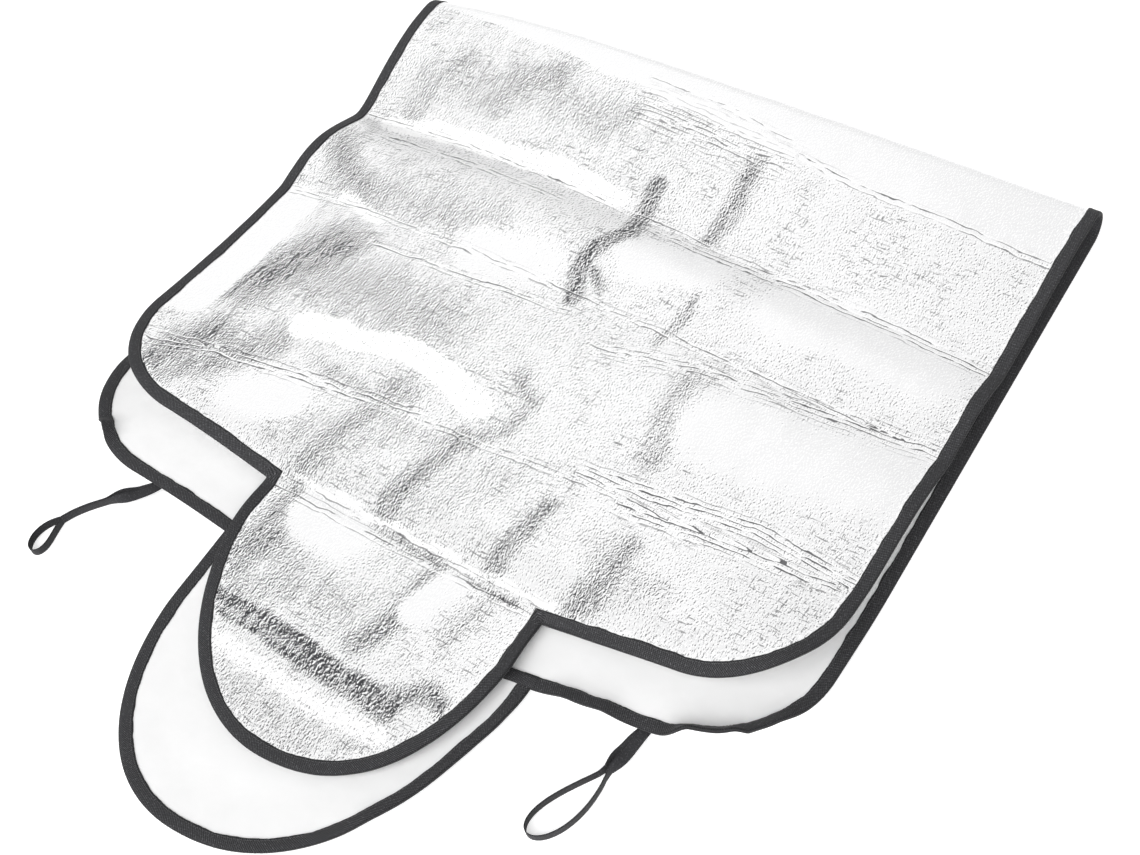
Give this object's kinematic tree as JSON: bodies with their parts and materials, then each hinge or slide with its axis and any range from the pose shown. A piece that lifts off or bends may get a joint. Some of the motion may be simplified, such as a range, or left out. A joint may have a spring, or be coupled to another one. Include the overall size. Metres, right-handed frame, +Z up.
{
  "type": "windshield cover",
  "caption": "Foil-faced foam windshield cover with a bound edge, an ear flap at each end and elastic loops, folded once across its length.",
  "frame": {"origin": "on the flat underside of the lower half, at the middle of the width, where the cover rests", "axes": "+Z up from the surface it lies on, +Y from the ear flaps towards the fold, +X along the fold to the right"},
  "size_m": [0.9677, 1.124, 0.0638],
  "materials": {
    "foil_foam": "crinkled silver foil bonded to white foam",
    "woven_tape": "charcoal woven binding tape, matt",
    "elastic": "black woven elastic, matt"
  },
  "bodies": {
    "root": {"cover_sheet": "foil_foam", "edge_binding": "woven_tape", "elastic_loop_left": "elastic", "elastic_loop_right": "elastic"}
  },
  "joints": []
}
